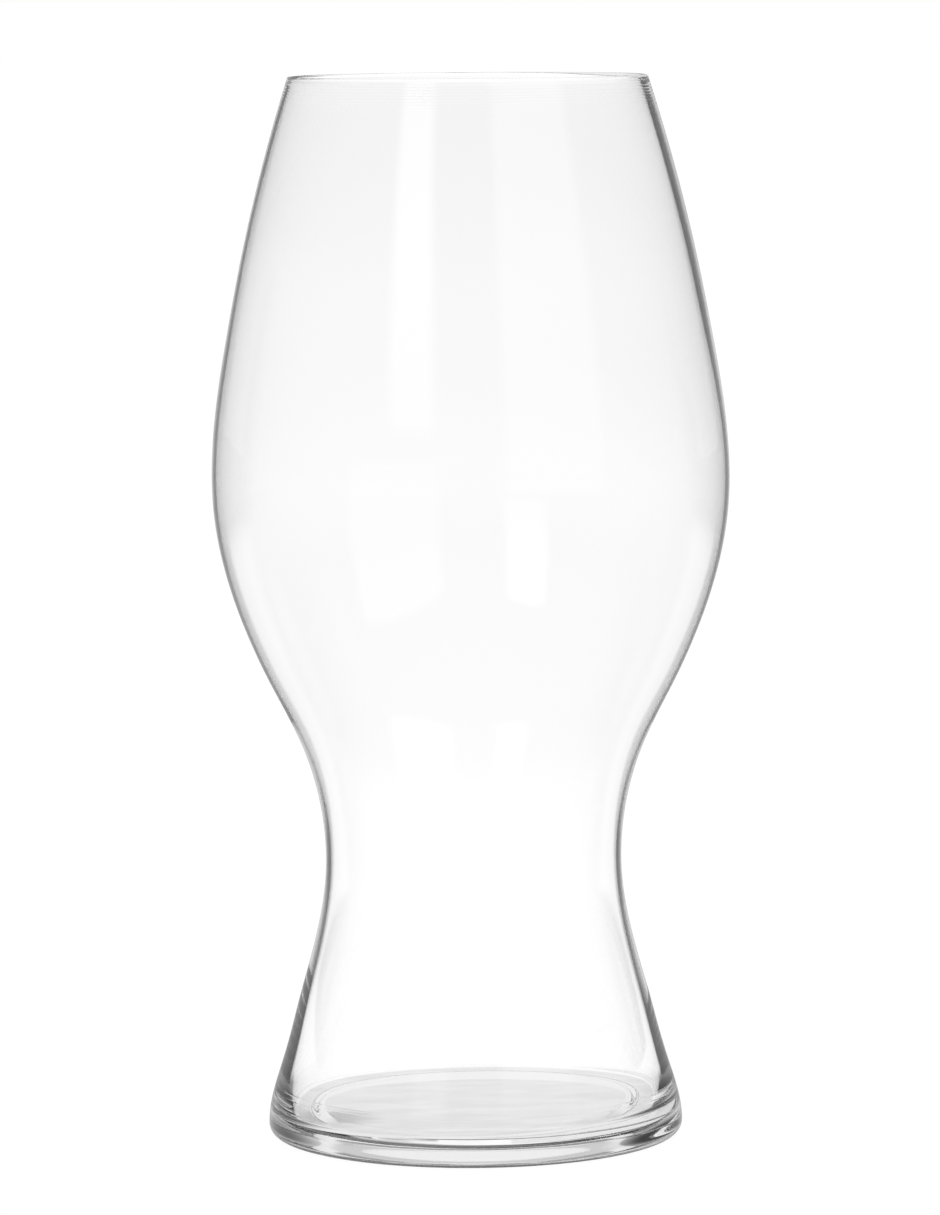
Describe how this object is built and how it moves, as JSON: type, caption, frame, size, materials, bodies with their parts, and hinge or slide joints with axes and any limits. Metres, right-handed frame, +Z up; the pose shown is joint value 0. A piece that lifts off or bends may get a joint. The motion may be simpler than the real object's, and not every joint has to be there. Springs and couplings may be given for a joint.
{
  "type": "water glass",
  "caption": "Clear drinking glass with a tapered bowl, a wide belly, a narrow waist and a flared, thick-soled foot, for holding and drinking a cold drink.",
  "frame": {"origin": "middle of the stand ring, on the surface that the glass stands on", "axes": "+Z up along the glass's axis of revolution, from the stand ring to the lip"},
  "size_m": [0.092, 0.092, 0.189],
  "materials": {
    "glass": "clear, colourless, fire-polished"
  },
  "bodies": {
    "root": {"rim": "glass", "bowl": "glass", "foot": "glass", "base": "glass"}
  },
  "joints": []
}
